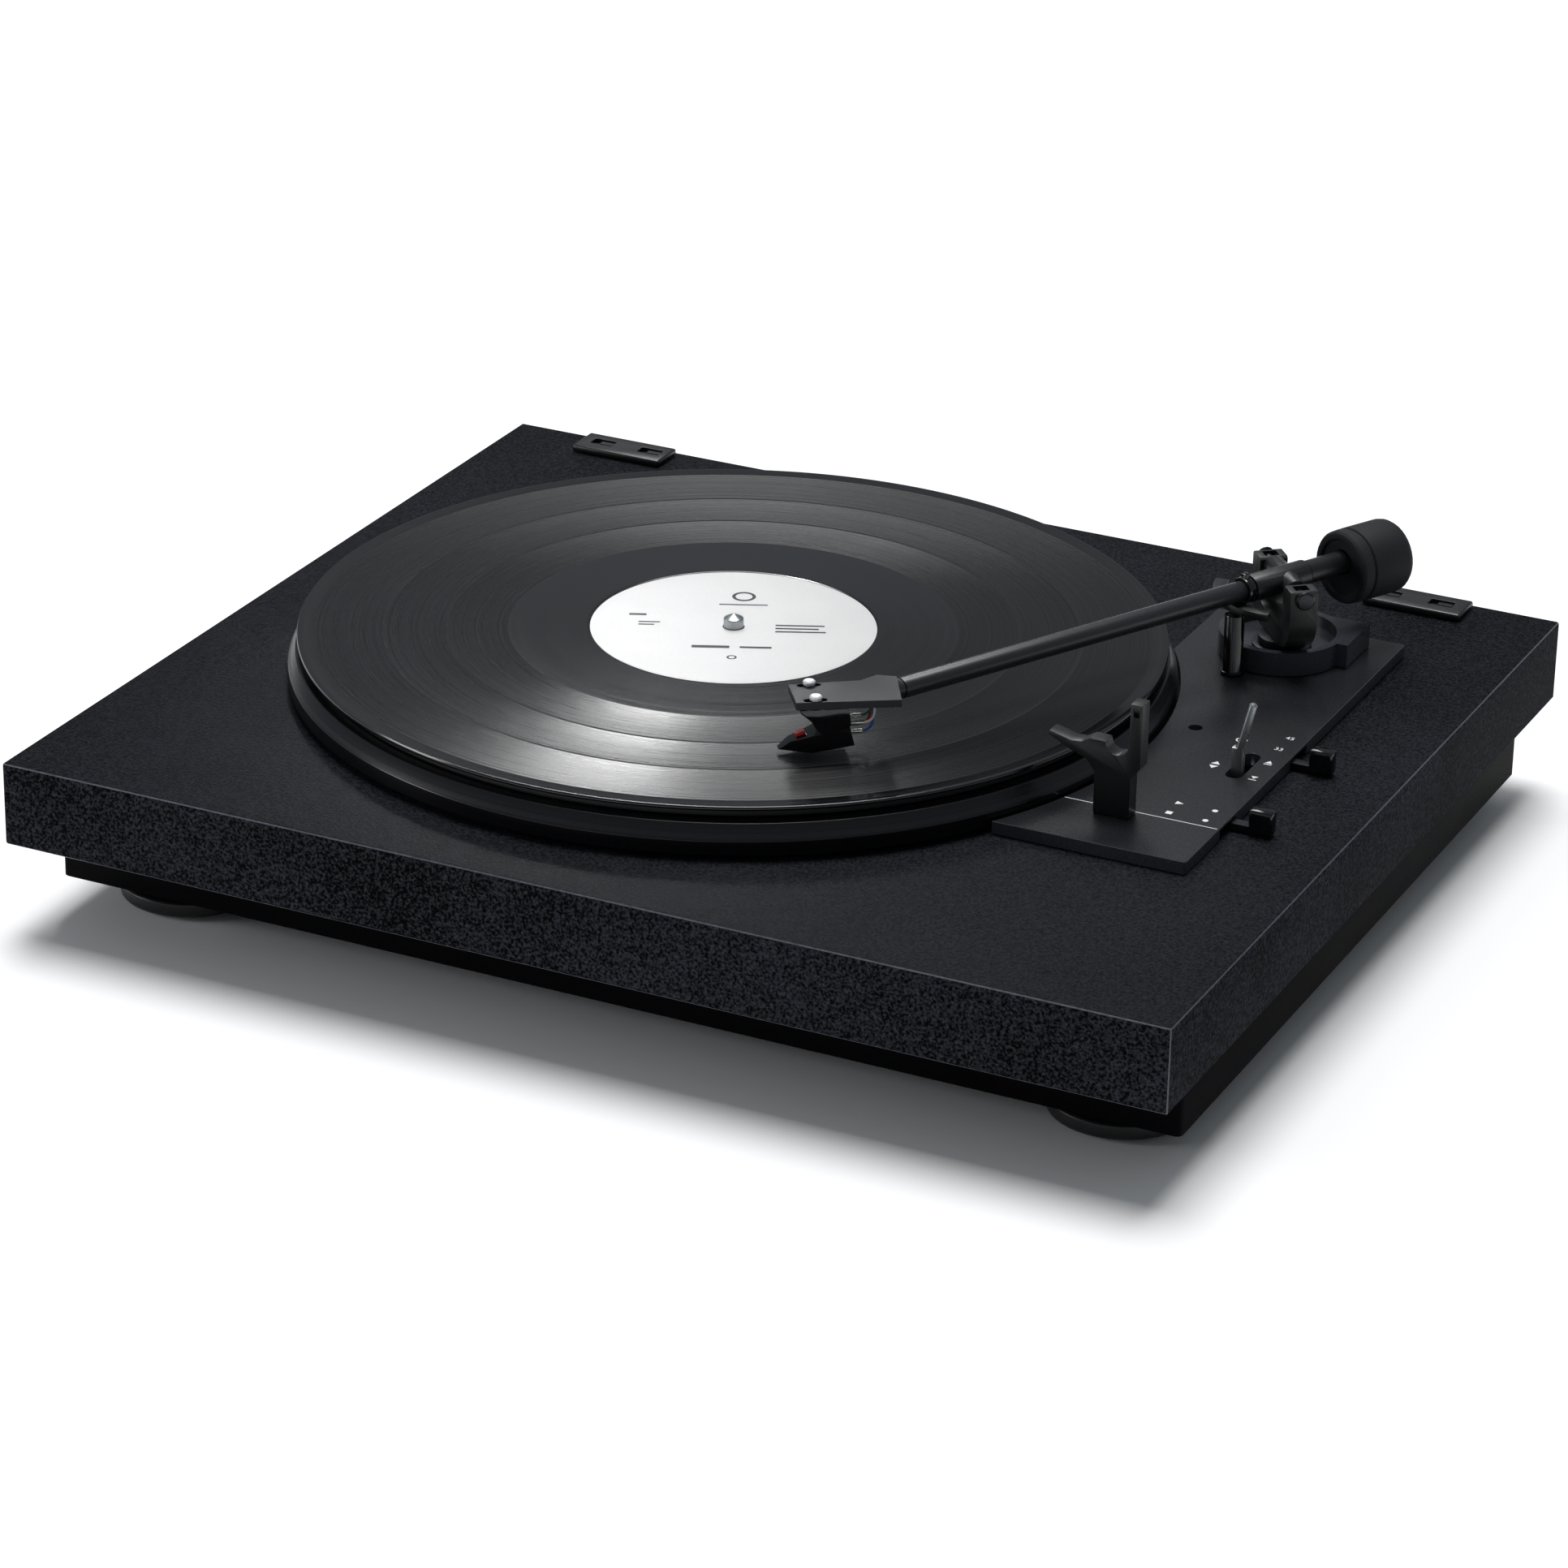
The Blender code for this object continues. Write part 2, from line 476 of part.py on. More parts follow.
outline = [(-0.0003, -0.0078), (0.0344, -0.0096), (0.0363, 0.0098), (0.0300, 0.0119), (0.0238, 0.0080),
           (-0.0003, 0.0078)]
shell = finish(soften(prism_bm(outline, 0.0366, 0.0392, head), 0.0005, 2), "headshell", ARM_PAINT,
               origin=arm_at)
cut(shell, lathe_bm([(0.0034, TUBE_FRONT - 0.0075), (0.0034, TUBE_FRONT - 0.0003),
                     (0.0026, TUBE_FRONT - 0.0003), (0.0026, TUBE_FRONT + 0.012)], arm_at, ALONG, 24), "UNION")
for v in (0.0063, -0.0063):
    slot = []
    for u, a0 in ((0.0036, 90), (0.0090, -90)):
        for i in range(7):
            a = math.radians(a0 + 30 * i)
            slot.append((u + 0.0013 * math.cos(a), v + 0.0013 * math.sin(a)))
    cut(shell, prism_bm(slot, 0.03, 0.05, head))

profile = [(0.0013, 0.0363), (0.0013, 0.0352), (0.0048, 0.0322), (0.0071, 0.0285), (0.0092, 0.0270),
           (0.0182, 0.0300), (0.0174, 0.0363)]
frame = head @ Matrix(((1, 0, 0, 0), (0, 0, -1, 0), (0, 1, 0, 0), (0, 0, 0, 1)))
body = finish(soften(prism_bm(profile, -0.0079, 0.0079, frame), 0.0004, 1), "cartridge_body", GLOSS,
              origin=arm_at)
for v in (0.0063, -0.0063):
    drill(body, head_point(0.0064, v, 0), 0.0013, 0.0317, 0.05, 12)
bm = bmesh.new()
wedge = [(-0.0049, 0.0201), (-0.0012, 0.0231), (0.0178, 0.0294), (0.0194, 0.0230), (0.0059, 0.0194)]
sides = []
for hand in (-1, 1):
    row = []
    for u, z in wedge:
        half = 0.0015 + (u + 0.0049) / 0.0243 * 0.0065
        row.append(bm.verts.new(head_point(u, hand * half, z)))
    sides.append(row)
for i in range(len(wedge)):
    j = (i + 1) % len(wedge)
    bm.faces.new((sides[0][i], sides[0][j], sides[1][j], sides[1][i]))
bm.faces.new(sides[0])
bm.faces.new(sides[1])
finish(soften(bm, 0.0004, 1), "stylus_unit", MATTE, origin=arm_at)
lathe("stylus_tip", [(0.00012, 0.0183), (0.0005, 0.0188), (0.0005, 0.0192)], head_point(0.0004, 0, 0), STEEL,
      segs=12, origin=arm_at)
for v, name in ((0.0063, "head_screw_left"), (-0.0063, "head_screw_right")):
    lathe(name, [(0.0010, 0.0320), (0.0010, 0.0395), (0.0021, 0.0395), (0.0021, 0.0406), (0.0016, 0.0410)],
          head_point(0.0064, v, 0), STEEL, segs=16, origin=arm_at)

# Counterweight on the rear stub, hung slightly low
low = UP * (WEIGHT_Z - TUBE_Z)
length = WEIGHT_T1 - WEIGHT_T0
profile = [(0.0098, 0.0010), (0.0104, 0.0), (0.0124, 0.0), (WEIGHT_R - 0.0002, 0.0010), (WEIGHT_R, 0.0044),
           (0.0126, 0.0048), (0.0126, 0.0054), (WEIGHT_R, 0.0058), (WEIGHT_R, length - 0.0040)]
for i in range(1, 5):
    a = math.radians(90 * i / 4)
    profile.append((WEIGHT_R - 0.0040 * (1 - math.cos(a)), length - 0.0040 + 0.0040 * math.sin(a)))
weight_at = arm_at + ALONG * WEIGHT_T0
weight = lathe("counterweight", profile, weight_at + low, RUBBER, ALONG, 36, origin=weight_at)
drill(weight, weight_at, STUB_R + GAP, -0.005, length - 0.0018, 24, ALONG)

# Lift: crescent bar on a piston in a cylinder, raised by a bent lever
outline = []
for r, a0, a1 in ((LIFT_R1, 183, 278), (LIFT_R0, 278, 183)):
    for i in range(17):
        a = math.radians(a0 + (a1 - a0) * i / 16)
        outline.append((PIVOT.x + r * math.cos(a), PIVOT.y + r * math.sin(a)))
post_at = LIFT_POST + LIFT
bar = finish(prism_bm(outline, TOP + 0.0284, TOP + 0.0310), "lift_bar", MATTE, origin=post_at)
cut(bar, lathe_bm([(0.0016, -0.008), (0.0016, 0.0290)], post_at, UP, 16), "UNION")
lathe("lift_cylinder", [(0.0019, -0.012), (0.0035, -0.012), (0.0035, 0.0051), (0.0041, 0.0051),
                        (0.0041, 0.0063), (0.0035, 0.0063), (0.0035, 0.0270), (0.0019, 0.0270)],
      post_at, GLOSS, segs=24, closed=True)

lever_at = LEVER_PIVOT + LIFT
arm_yz = [(0.0030, 0.0020), (0.0000, 0.0036), (-0.0036, 0.0135), (-0.0036, 0.0225), (-0.0064, 0.0225),
          (-0.0064, 0.0125), (-0.0040, -0.0010), (0.0, -0.0036), (0.0030, -0.0020)]
frame = Matrix.Translation(lever_at) @ Matrix(((0, 0, 1, 0), (1, 0, 0, 0), (0, 1, 0, 0), (0, 0, 0, 1)))
lever = finish(soften(prism_bm(arm_yz, -0.0019, 0.0019, frame), 0.0003, 1), "lift_lever", STEEL,
               origin=lever_at)
cut(lever, lathe_bm([(0.0012, -0.0072), (0.0012, 0.0072)], lever_at, Vector((1, 0, 0)), 16), "UNION")
foot_of_rod = lever_at + Vector((0.0003, -0.0051, 0.0212))
tip_of_rod = lever_at + Vector((0.0046, -0.0051, 0.0392))
lean = tip_of_rod - foot_of_rod
cut(lever, lathe_bm([(0.0014, 0.0), (0.0014, lean.length - 0.0006), (0.0008, lean.length)], foot_of_rod,
                    lean, 16), "UNION")

# Circuit boards in the tray
board_z = TRAY_FLOOR + TRAY_WALL + GAP
for name, x0, y0, x1, y1 in (("speed_board", 0.085, -0.060, 0.150, -0.020),
                             ("phono_board", 0.050, 0.095, 0.150, 0.148)):
    board = finish(box_bm((x0, y0, board_z), (x1, y1, board_z + 0.0016)), name, BOARD)
    for i in range(3):
        px = x0 + 0.012 + 0.020 * i
        chip = box_bm((px, y0 + 0.012, board_z + 0.0010), (px + 0.009, y0 + 0.020, board_z + 0.0056))
        cut(board, chip, "UNION")

# Rear sockets
rear = Vector((0, 1, 0))
for name, x in SOCKETS.items():
    lathe(name, [(0.0016, -0.006), (0.0016, 0.0090), (0.0041, 0.0090), (0.0041, 0.0017), (0.0060, 0.0017),
                 (0.0060, 0.0003), (0.0043, 0.0003), (0.0043, -0.0072)],
          Vector((x, TRAY_Y1, SOCKET_Z)), NICKEL, rear, 24)
lathe("ground_terminal", [(0.0020, -0.006), (0.0020, 0.0004), (0.0045, 0.0004), (0.0045, 0.0050),
                          (0.0036, 0.0056)], Vector((GROUND_X, TRAY_Y1, SOCKET_Z)), STEEL, rear, 16)
lathe("power_inlet", [(0.0028, -0.008), (0.0028, 0.0014), (0.0062, 0.0014), (0.0062, 0.0003),
                      (0.0050, 0.0003), (0.0050, -0.0100)], Vector((INLET_X, TRAY_Y1, SOCKET_Z)), MATTE, rear, 24)
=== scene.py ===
import math

import bmesh
import bpy
from mathutils import Matrix, Vector


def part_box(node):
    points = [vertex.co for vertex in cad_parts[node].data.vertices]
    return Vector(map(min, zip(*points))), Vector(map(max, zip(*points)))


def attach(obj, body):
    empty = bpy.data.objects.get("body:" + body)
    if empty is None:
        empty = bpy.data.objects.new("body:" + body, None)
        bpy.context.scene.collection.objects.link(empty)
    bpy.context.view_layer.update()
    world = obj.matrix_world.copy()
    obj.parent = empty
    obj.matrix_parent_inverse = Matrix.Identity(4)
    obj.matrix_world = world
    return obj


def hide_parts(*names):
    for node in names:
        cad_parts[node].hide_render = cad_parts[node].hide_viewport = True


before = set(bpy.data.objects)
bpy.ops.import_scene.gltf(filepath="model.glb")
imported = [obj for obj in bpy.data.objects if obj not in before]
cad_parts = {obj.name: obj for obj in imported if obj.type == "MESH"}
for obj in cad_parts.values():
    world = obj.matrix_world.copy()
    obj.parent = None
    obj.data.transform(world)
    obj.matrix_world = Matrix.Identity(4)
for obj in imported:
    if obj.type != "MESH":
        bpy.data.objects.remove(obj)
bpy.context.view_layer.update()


# ---- Plinth -----------------------------------------------------------------------------
# A slab of MDF with a routed drive well, sprayed all over in a fine textured lacquer.
# The sides' light speckle is partly grain and partly painted glints; the top's calmer copy is painted
# light.
MM = 0.001
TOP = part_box("plinth")[1][2]
SHARP_EDGE = math.radians(40)
CREASE = math.radians(26)


def linear(hex_colour):
    """An sRGB hex colour as linear red, green, blue and alpha."""
    parts = [int(hex_colour[i:i + 2], 16) / 255 for i in (1, 3, 5)]
    return (*(c / 12.92 if c <= 0.04045 else ((c + 0.055) / 1.055) ** 2.4 for c in parts), 1.0)


def add(tree, kind, links=None, **settings):
    """One node: its properties, then its inputs, each a fixed value or another node's output."""
    node = tree.nodes.new(kind)
    for key, value in settings.items():
        setattr(node, key, value)
    for key, value in (links or {}).items():
        if isinstance(value, bpy.types.NodeSocket):
            tree.links.new(value, node.inputs[key])
        else:
            node.inputs[key].default_value = value
    return node


def start_finish(name, **fixed):
    """An empty material with its shader; fixed values go straight on the shader's sockets."""
    mat = bpy.data.materials.new(name)
    mat.use_nodes = True
    tree = mat.node_tree
    tree.nodes.clear()
    shader = add(tree, "ShaderNodeBsdfPrincipled", {k.replace("_", " "): v for k, v in fixed.items()})
    out = add(tree, "ShaderNodeOutputMaterial")
    tree.links.new(shader.outputs[0], out.inputs["Surface"])
    where = add(tree, "ShaderNodeTexCoord").outputs["Object"]
    return mat, tree, shader, where


def lay_on(tree, shader, tone, height, colours, sheen, relief, span=(0.35, 0.65)):
    """Lay a pattern on a shader: colour and roughness follow its tone, bump its height.

    colours are dark and light, sheen is roughness from smooth to dull, relief is the bump's
    strength and its depth in mm, and span is the part of the tone the colours run over.
    """
    ramp = add(tree, "ShaderNodeValToRGB", {"Fac": tone})
    for stop, position, colour in zip(ramp.color_ramp.elements, span, colours):
        stop.position = position
        stop.color = linear(colour)
    tree.links.new(ramp.outputs["Color"], shader.inputs["Base Color"])
    dullness = add(tree, "ShaderNodeMapRange", {"Value": tone, "From Min": 0.3, "From Max": 0.7,
                                                "To Min": sheen[0], "To Max": sheen[1]})
    tree.links.new(dullness.outputs["Result"], shader.inputs["Roughness"])
    bump = add(tree, "ShaderNodeBump", {"Height": height, "Strength": relief[0],
                                        "Distance": relief[1] * MM})
    tree.links.new(bump.outputs["Normal"], shader.inputs["Normal"])


def grained(name, dark, light, grain_mm, smooth, dull, depth_mm, strength=0.5, blotch_mm=60.0,
            low=0.35, high=0.65, **fixed):
    """A sprayed or moulded finish: fine grain for bump and sheen over slow patches of tone."""
    mat, tree, shader, where = start_finish(name, **fixed)
    fine = add(tree, "ShaderNodeTexNoise", {"Vector": where, "Scale": 1 / (grain_mm * MM), "Detail": 3.0,
                                            "Roughness": 0.6})
    slow = add(tree, "ShaderNodeTexNoise", {"Vector": where, "Scale": 1 / (blotch_mm * MM), "Detail": 2.0})
    tone = add(tree, "ShaderNodeMix", {"Factor": 0.2, "A": fine.outputs[0], "B": slow.outputs[0]})
    lay_on(tree, shader, tone.outputs[0], fine.outputs[0], (dark, light), (smooth, dull),
           (strength, depth_mm), (low, high))
    return mat


def dress(node_name, finish, edge_mm=0.25, steps=2):
    """Give a CAD node its finish, with small rounded edges that catch the light.

    One step makes a flat chamfer. Creases are split after it, so flat faces stay flat.
    """
    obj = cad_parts[node_name]
    obj.data.materials.clear()
    obj.data.materials.append(finish)
    for face in obj.data.polygons:
        face.use_smooth = True
    weld = obj.modifiers.new("join", "WELD")
    weld.merge_threshold = 0.01 * MM
    if edge_mm:
        bevel = obj.modifiers.new("edges", "BEVEL")
        bevel.width = edge_mm * MM
        bevel.segments = steps
        bevel.limit_method = "ANGLE"
        bevel.angle_limit = SHARP_EDGE
    crease = obj.modifiers.new("creases", "EDGE_SPLIT")
    crease.split_angle = CREASE
    return obj


# The lacquer's grain is taken as about 0.6 mm and drawn at 1.0 mm so that it shows.
# Two copies of one lacquer: the sides' speckle is partly grain, partly painted glints; the top's calmer
# tone is painted light.
side_lacquer_grain_and_glints = grained("side_lacquer_grain_and_glints", "#040405", "#42444b", 1.0, 0.5, 0.75, 0.4, 1.0, 90.0,
                           0.42, 0.78, Specular_IOR_Level=0.01)
top_lacquer_fewer_glints = grained("top_lacquer_fewer_glints", "#07080a", "#24262b", 1.0, 0.42, 0.6, 0.2, 0.8, 120.0,
                      0.4, 0.66, Specular_IOR_Level=0.03)
# A lighter grey for the plinth's bevelled edges: a painted highlight for the bright line they catch.
plinth_edge_painted_highlight = grained("plinth_edge_painted_highlight", "#33353b", "#4a4d55", 1.2, 0.3, 0.45, 0.1, 0.3, 60.0)


def paint_edge_highlight(obj, finish):
    """Give the bevelled edges of a dressed piece a lighter finish of their own, as a painted highlight."""
    obj.data.materials.append(finish)
    obj.modifiers["edges"].material = len(obj.data.materials) - 1


plinth = dress("plinth", side_lacquer_grain_and_glints, 0.35, 1)
# The top faces take the calmer copy of the lacquer, as painted light.
plinth.data.materials.append(top_lacquer_fewer_glints)
for face in plinth.data.polygons:
    if face.normal.z > 0.9:
        face.material_index = 1
# The bevelled edges take the lighter grey, a painted highlight.
paint_edge_highlight(plinth, plinth_edge_painted_highlight)


# ---- Base tray --------------------------------------------------------------------------
# A vacuum-formed ABS tray, screwed under the plinth, that closes it and carries the sockets.
# It is matte, with a fine pebble grain.
moulded_abs = grained("moulded_abs", "#040405", "#0c0c0f", 0.6, 0.5, 0.7, 0.05, 0.35, 40.0,
                      Specular_IOR_Level=0.02)
dress("base_tray", moulded_abs, 0.3)


# ---- Feet and pads ----------------------------------------------------------------------
# Turned-looking moulded feet in two steps, pressed onto soft rubber pads.
# The moulding is satin; the rubber underneath is dull.
satin_abs = grained("satin_abs", "#0b0b0d", "#141416", 0.7, 0.3, 0.45, 0.03, 0.3, 25.0)
foot_rubber = grained("foot_rubber", "#070707", "#0e0e0e", 0.5, 0.7, 0.9, 0.06, 0.5, 15.0)
for corner in ("front_left", "front_right", "rear_left", "rear_right"):
    dress("foot_" + corner, satin_abs, 0.3)
    dress("pad_" + corner, foot_rubber, 0.2)


# ---- Platter ----------------------------------------------------------------------------
# A cast and turned aluminium disc in satin black coating, with a rounded shoulder.
# The turning marks run round it and draw the highlight out along the rim.
def put(name, data):
    """A new object made from its data, linked into the scene."""
    obj = bpy.data.objects.new(name, data)
    bpy.context.scene.collection.objects.link(obj)
    return obj


def turned(name, profile, centre, segments, finishes, body, covers, bands=None):
    """Spin (radius, height) points in mm about an upright axis, as a piece that rides a body.

    The piece covers CAD nodes. bands gives each edge of the profile the number of its finish.
    """
    bm = bmesh.new()
    rings = []
    for radius, height in profile:
        ring = []
        for i in range(segments):
            turn = 2 * math.pi * i / segments
            ring.append(bm.verts.new((radius * MM * math.cos(turn), radius * MM * math.sin(turn),
                                      height * MM)))
        rings.append(ring)
    for k, (low, high) in enumerate(zip(rings, rings[1:] + rings[:1])):
        for i in range(segments):
            j = (i + 1) % segments
            face = bm.faces.new((low[i], low[j], high[j], high[i]))
            face.smooth = True
            face.material_index = bands[k] if bands else 0
    bmesh.ops.recalc_face_normals(bm, faces=bm.faces)
    for edge in bm.edges:
        edge.smooth = edge.calc_face_angle(0) < SHARP_EDGE
    mesh = bpy.data.meshes.new(name)
    bm.to_mesh(mesh)
    bm.free()
    for finish in finishes:
        mesh.materials.append(finish)
    piece = put(name, mesh)
    piece.location = centre
    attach(piece, body)
    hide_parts(*covers)


def middle(node_name):
    """Centre of a CAD node's box in plan, at the height of the plinth's top."""
    lo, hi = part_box(node_name)
    return Vector(((lo[0] + hi[0]) / 2, (lo[1] + hi[1]) / 2, TOP))


def ringed(name, dark, light, ring_mm, smooth, dull, depth_mm, strength, **fixed):
    """A finish with rings round the piece's own upright axis, as turning or pressing leaves."""
    mat, tree, shader, where = start_finish(name, **fixed)
    flat = add(tree, "ShaderNodeVectorMath", {0: where, 1: (1.0, 1.0, 0.0)}, operation="MULTIPLY")
    radius = add(tree, "ShaderNodeVectorMath", {0: flat.outputs["Vector"]}, operation="LENGTH")
    rings = add(tree, "ShaderNodeTexNoise", {"W": radius.outputs["Value"], "Scale": 1 / (ring_mm * MM),
                                             "Detail": 4.0, "Roughness": 0.65}, noise_dimensions="1D")
    lay_on(tree, shader, rings.outputs[0], rings.outputs[0], (dark, light), (smooth, dull),
           (strength, depth_mm))
    tangent = add(tree, "ShaderNodeTangent", direction_type="RADIAL", axis="Z")
    tree.links.new(tangent.outputs["Tangent"], shader.inputs["Tangent"])
    return mat


def arc(cx, cy, radius, first, last, steps):
    """Points of a circular arc, angles in degrees."""
    turns = [math.radians(first + (last - first) * i / steps) for i in range(steps + 1)]
    return [(cx + radius * math.cos(t), cy + radius * math.sin(t)) for t in turns]


spindle_at = middle("platter")
bore_r = 3.8
platter_r = 154.0
coated_casting = ringed("coated_casting", "#0c0c0f", "#15161a", 1.2, 0.2, 0.3, 0.02, 0.2,
                        Anisotropic=0.4, Specular_IOR_Level=0.35)
profile = [(bore_r, 12.6), (bore_r, 1.8)]
profile += arc(platter_r - 0.8, 2.6, 0.8, -90, 0, 4)
profile += arc(platter_r - 0.8, 7.0, 0.8, 0, 50, 4)
profile += arc(platter_r - 3.4, 11.4, 1.2, 50, 90, 4)
turned("platter_disc", profile, spindle_at, 256, [coated_casting], "turning", ["platter"])


# ---- Mat --------------------------------------------------------------------------------
# A moulded rubber mat, laid loose on the platter. Its dull rubber shows as a dark band under
# the record's edge.
mat_rubber = ringed("mat_rubber", "#08080a", "#101012", 2.0, 0.55, 0.75, 0.1, 0.4)
profile = [(bore_r, 15.9), (bore_r, 12.9)]
profile += arc(146.4, 13.5, 0.6, -90, 0, 3) + arc(146.4, 15.3, 0.6, 0, 90, 3)
turned("platter_mat", profile, spindle_at, 192, [mat_rubber], "turning", ["mat"])


# ---- Record -----------------------------------------------------------------------------
# A pressed black vinyl disc with a raised rim. The grooves spread light across themselves,
# so highlights run out from the centre as streaks; the smooth bands stay mirror-like.
grooved_vinyl = ringed("grooved_vinyl", "#09090b", "#101113", 0.9, 0.22, 0.36, 0.03, 0.22,
                       Anisotropic=0.9, Anisotropic_Rotation=0.25, IOR=1.55, Specular_IOR_Level=0.3)
smooth_vinyl = ringed("smooth_vinyl", "#08080a", "#0c0d0f", 3.0, 0.1, 0.16, 0.01, 0.1, IOR=1.55)
profile = [(bore_r, 17.2), (bore_r, 16.2), (149.9, 16.2), (150.6, 16.5), (150.8, 17.0)]
profile += [(150.8, 17.4), (150.5, 17.9), (149.6, 18.0), (148.6, 17.9), (145.0, 17.8)]
profile += [(121.4, 17.8), (121.2, 17.83), (120.6, 17.83), (120.4, 17.8), (99.8, 17.8), (99.6, 17.83)]
profile += [(99.0, 17.83), (98.8, 17.8), (78.0, 17.8), (77.8, 17.83), (52.5, 17.83), (51.4, 18.0)]
profile += [(50.4, 18.0), (50.0, 17.9), (50.0, 17.2)]
groove_bands = (9, 13, 17)
bands = [0 if k in groove_bands else 1 for k in range(len(profile))]
turned("record_disc", profile, spindle_at, 256, [grooved_vinyl, smooth_vinyl], "turning", ["record"],
       bands=bands)


# ---- Record label -----------------------------------------------------------------------
# Printed uncoated paper pressed into the vinyl. The print is plain bars and a ring.
def paper(name, dark, light):
    return grained(name, dark, light, 0.35, 0.55, 0.7, 0.02, 0.2, 20.0)


label_paper = paper("label_paper", "#bababa", "#c6c6c5")
label_ink = paper("label_ink", "#101012", "#1a1a1d")
profile = [(bore_r, 17.92), (bore_r, 17.5), (49.6, 17.5), (49.7, 17.8), (49.4, 17.92)]
turned("label_disc", profile, spindle_at, 160, [label_paper], "turning", ["record_label"])


def printed(name, outlines, finish, place, body, thick_mm=0.02):
    """Flat marks: outlines in mm, extruded by the ink's thickness, as one piece."""
    bm = bmesh.new()
    for outline in outlines:
        low = [bm.verts.new((x * MM, y * MM, 0)) for x, y in outline]
        face = bm.faces.new(low)
        made = bmesh.ops.extrude_face_region(bm, geom=[face])
        high = [v for v in made["geom"] if isinstance(v, bmesh.types.BMVert)]
        bmesh.ops.translate(bm, verts=high, vec=(0, 0, thick_mm * MM))
    bmesh.ops.recalc_face_normals(bm, faces=bm.faces)
    mesh = bpy.data.meshes.new(name)
    bm.to_mesh(mesh)
    bm.free()
    mesh.materials.append(finish)
    piece = put(name, mesh)
    piece.matrix_world = place
    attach(piece, body)
    return piece


def bar(x, y, width, height):
    """A rectangle given by its centre and size."""
    w, h = width / 2, height / 2
    return [(x - w, y - h), (x + w, y - h), (x + w, y + h), (x - w, y + h)]


def rows(x, y, widths, pitch, height):
    """Lines of small bars that stand for a block of print."""
    return [bar(x + w / 2, y - pitch * i, w, height) for i, w in enumerate(widths)]


def ring_pieces(x, y, radius, width, steps=24):
    """A ring as short four-sided pieces."""
    parts = []
    for i in range(steps):
        a = arc(x, y, radius, 360 * i / steps, 360 * (i + 1) / steps, 1)
        b = arc(x, y, radius - width, 360 * i / steps, 360 * (i + 1) / steps, 1)
        parts.append([b[0], a[0], a[1], b[1]])
    return parts


marks = ring_pieces(3.0, 27.0, 4.2, 1.2)
marks += rows(-5.5, 19.5, (17.0,), 1.6, 0.9)
marks += rows(-33.0, 2.5, (7.5, 5.5), 2.4, 0.9) + rows(-36.5, 9.0, (6.0,), 1.7, 1.6)
marks += rows(14.5, 1.5, (17.0, 15.0, 17.5), 2.8, 1.1)
marks += rows(-14.0, -18.5, (13.0,), 1.6, 2.2) + rows(2.5, -18.5, (11.0,), 1.6, 1.5)
marks += ring_pieces(0.0, -27.5, 1.8, 0.7, 12)
print_height = 17.96 * MM
print_turn = Matrix.Rotation(math.radians(25), 4, "Z")
label_top = Matrix.Translation(spindle_at + Vector((0, 0, print_height)))
printed("label_print", marks, label_ink, label_top @ print_turn, "turning")


# ---- Spindle, bearing and drive ---------------------------------------------------------
# Turned steel for the spindle, its bearing and the motor, and turned brass for the pulley.
# A rubber belt runs from the pulley round a moulded sub-platter, under the platter.
machined_steel = grained("machined_steel", "#8f9396", "#b4b8ba", 0.3, 0.25, 0.4, 0.01, 0.3, 8.0,
                         Metallic=1.0)
turned_brass = grained("turned_brass", "#a98443", "#c9a25a", 0.3, 0.22, 0.35, 0.01, 0.3, 8.0, Metallic=1.0)
belt_rubber = grained("belt_rubber", "#0a0a0a", "#141414", 0.5, 0.5, 0.7, 0.04, 0.4, 10.0)
dress("spindle_shaft", machined_steel, 0)
for name in ("bearing_housing", "thrust_ball", "motor_can", "motor_plate"):
    dress(name, machined_steel, 0)
dress("motor_pulley", turned_brass, 0)
dress("drive_belt", belt_rubber, 0)
dress("sub_platter", moulded_abs, 0.3)


# ---- Control plate ----------------------------------------------------------------------
# A thick aluminium plate, bead blasted and anodised black. It is semi-gloss, so the parts
# that stand on it show as soft reflections; its edges and side faces carry a painted highlight.
anodised = grained("black_anodised_aluminium", "#1a1b1e", "#212226", 0.4, 0.24, 0.32, 0.01, 0.05, 50.0,
                   Metallic=0.25)
# A lighter grey for the plate's bevels and side faces: a painted highlight.
plate_edge_painted_highlight = grained("anodised_edge_painted_highlight", "#3c3d42", "#4c4e54", 0.4, 0.25, 0.35, 0.01, 0.1, 30.0,
                   Metallic=0.4)
plate = dress("control_plate", anodised, 0.35, 1)
paint_edge_highlight(plate, plate_edge_painted_highlight)
# The side faces take the lighter grey too, as painted highlight.
for face in plate.data.polygons:
    if abs(face.normal.z) < 0.5:
        face.material_index = 1
plate_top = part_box("control_plate")[1][2]


# ---- Plate print ------------------------------------------------------------------------
# White ink, screen-printed on the plate: a rule, dots at the switch's two places, the speed
# figures and plain signs.
white_ink = paper("white_ink", "#c9cacc", "#dedfe1")
ink_gap = 0.01 * MM
ink_at = Matrix.Translation((0, 0, plate_top + ink_gap))
rule = [bar(145.1, -50.3, 54.0, 0.35)]
dots = [arc(166.1, -45.8, 1.0, 0, 345, 23), arc(166.1, -37.3, 1.0, 0, 345, 23)]
start_sign = [[(152.2, -38.4), (154.9, -37.1), (152.2, -35.8)]]
stop_sign = [bar(153.2, -45.6, 2.2, 2.2)]
up_sign = [[(166.3, 6.6), (168.9, 6.6), (167.6, 8.6)], bar(167.6, 5.7, 2.8, 0.5)]
down_sign = [[(166.3, -5.4), (168.9, -5.4), (167.6, -7.4)], bar(167.6, -8.3, 2.8, 0.5)]
lift_sign = [[(150.4, -2.2), (153.6, -2.2), (152.0, 0.2)], [(153.6, -3.4), (150.4, -3.4), (152.0, -5.8)]]
